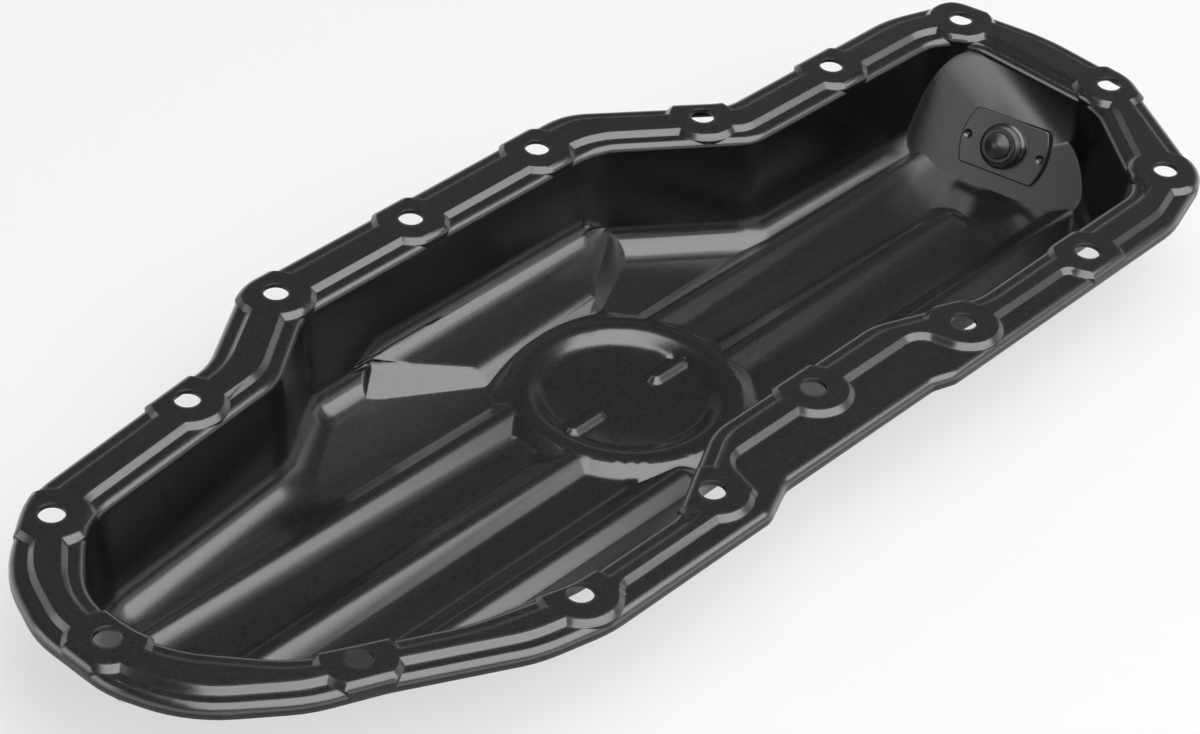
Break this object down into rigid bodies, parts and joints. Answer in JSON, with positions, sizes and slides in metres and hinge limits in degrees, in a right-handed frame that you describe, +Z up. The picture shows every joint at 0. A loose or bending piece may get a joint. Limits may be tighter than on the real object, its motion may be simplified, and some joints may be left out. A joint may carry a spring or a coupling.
{
  "type": "engine oil pan",
  "caption": "Shallow stamped steel engine oil pan with a wavy bolted flange, ribbed floor and slanted drain.",
  "frame": {"origin": "centre of the bounding box in plan, at the outside of the floor that the pan rests on", "axes": "+X along the floor ribs from the rounded end to the drain end, +Y to the side with the bulge, +Z up through the open top"},
  "size_m": [0.3968, 0.159, 0.0372],
  "materials": {
    "black_coat": "satin",
    "plug_steel": "satin",
    "gasket_metal": "satin"
  },
  "bodies": {
    "pan": {"oil_pan": "black_coat", "drain_boss_plate": "black_coat"},
    "gasket": {"drain_plug_gasket": "gasket_metal"},
    "plug": {"drain_plug": "plug_steel"}
  },
  "joints": [
    {"name": "drain_travel", "type": "slide", "parent": "pan", "child": "gasket", "axis": [0.8295, 0.1763, -0.5299], "range_m": [0, 0.02505]},
    {"name": "drain_turn", "type": "hinge", "parent": "gasket", "child": "plug", "pos_m": [0.16891, -0.00191, 0.01294], "axis": [0.8295, 0.1763, -0.5299], "range_deg": [0, 7200]}
  ],
  "couplings": [
    {"joint": "drain_travel", "follows": "drain_turn", "m_per_rad": 0.00019894}
  ]
}
